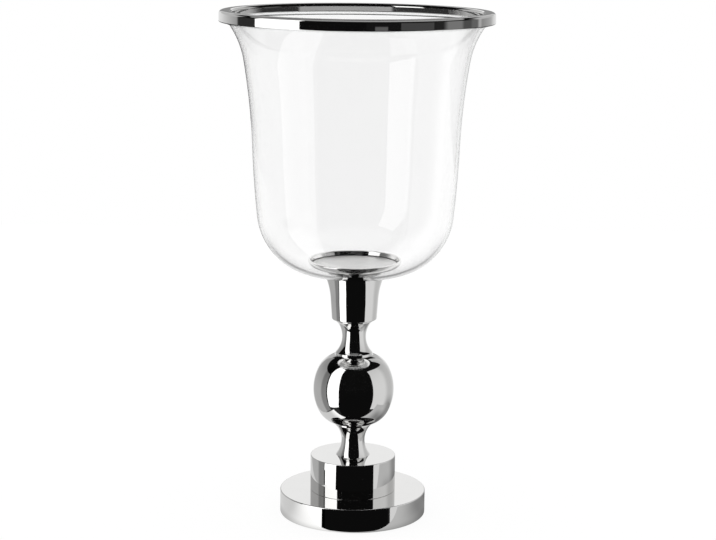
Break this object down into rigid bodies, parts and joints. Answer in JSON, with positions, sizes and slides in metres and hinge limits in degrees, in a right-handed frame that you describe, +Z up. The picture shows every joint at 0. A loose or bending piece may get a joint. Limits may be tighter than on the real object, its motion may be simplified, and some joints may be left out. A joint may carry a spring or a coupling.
{
  "type": "candle lamp with shade",
  "caption": "Hurricane candle lamp: a flared clear glass bell with a metal rim ring and a candle dish, on a turned polished stem with a ball and a stepped round base.",
  "frame": {"origin": "centre of the underside of the felt pad, on the table", "axes": "+Z up along the stem; the front of the picture faces -Y, +X is to its right"},
  "size_m": [0.24, 0.24, 0.452],
  "materials": {
    "nickel": "nickel plated and mirror polished",
    "glass": "clear",
    "felt": "wool felt",
    "rubber": "matt black",
    "silicone": "translucent",
    "zinc_steel": "zinc plated"
  },
  "bodies": {
    "stand": {"felt_pad": "felt", "base_plate": "nickel", "base_drum": "nickel", "lower_neck": "nickel", "ball": "nickel", "upper_neck": "nickel", "collar": "nickel", "tie_rod": "zinc_steel", "base_washer": "zinc_steel", "base_lock_washer": "zinc_steel", "base_nut": "zinc_steel", "column_washer": "zinc_steel", "column_nut": "zinc_steel", "seat_gasket": "rubber"},
    "shade": {"glass_shade": "glass", "rim_seal": "silicone", "rim_ring": "nickel"},
    "washer": {"dish_washer": "rubber"},
    "dish": {"dish_boss": "nickel", "candle_dish": "nickel"}
  },
  "joints": [
    {"name": "shade_lift", "type": "slide", "parent": "stand", "child": "shade", "axis": [0, 0, 1], "range_m": [0, 0.06]},
    {"name": "dish_rise", "type": "slide", "parent": "shade", "child": "washer", "axis": [0, 0, 1], "range_m": [0, 0.01]},
    {"name": "dish_turn", "type": "hinge", "parent": "washer", "child": "dish", "pos_m": [0, 0, 0.22801], "axis": [0, 0, 1], "range_deg": [0, 2880]}
  ],
  "couplings": [
    {"joint": "dish_rise", "follows": "dish_turn", "m_per_rad": 0.00019894}
  ]
}
